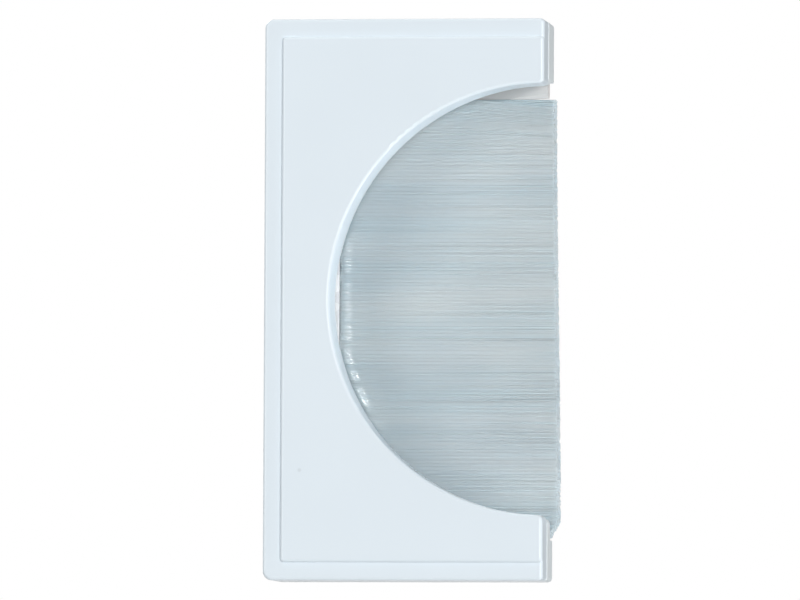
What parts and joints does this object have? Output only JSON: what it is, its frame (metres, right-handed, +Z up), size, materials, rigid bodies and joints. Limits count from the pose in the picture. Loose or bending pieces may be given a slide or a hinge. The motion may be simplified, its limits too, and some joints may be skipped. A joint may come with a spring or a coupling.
{
  "type": "brush wall plate module",
  "caption": "White half-width wall plate module with a half-round cable opening on one side, filled by a straight brush of clear bristles, with a clamp plate and snap arms behind.",
  "frame": {"origin": "middle of the module's outline, on the rear ledge that seats on the wall plate's grid", "axes": "face looks along -Y, +Y into the wall, +Z up the module's length, +X to the side that meets the second half"},
  "size_m": [0.0258, 0.0122, 0.0498],
  "materials": {
    "gloss_white": "polished mould",
    "moulded_white": "satin",
    "channel_steel": "zinc plated",
    "wire_steel": "bright drawn",
    "clear_nylon": "extruded filament"
  },
  "bodies": {
    "root": {"front_cover": "gloss_white", "carrier_frame": "moulded_white", "clamp_plate": "moulded_white", "brush_channel": "channel_steel", "core_wire": "wire_steel", "bristles": "clear_nylon"}
  },
  "joints": []
}
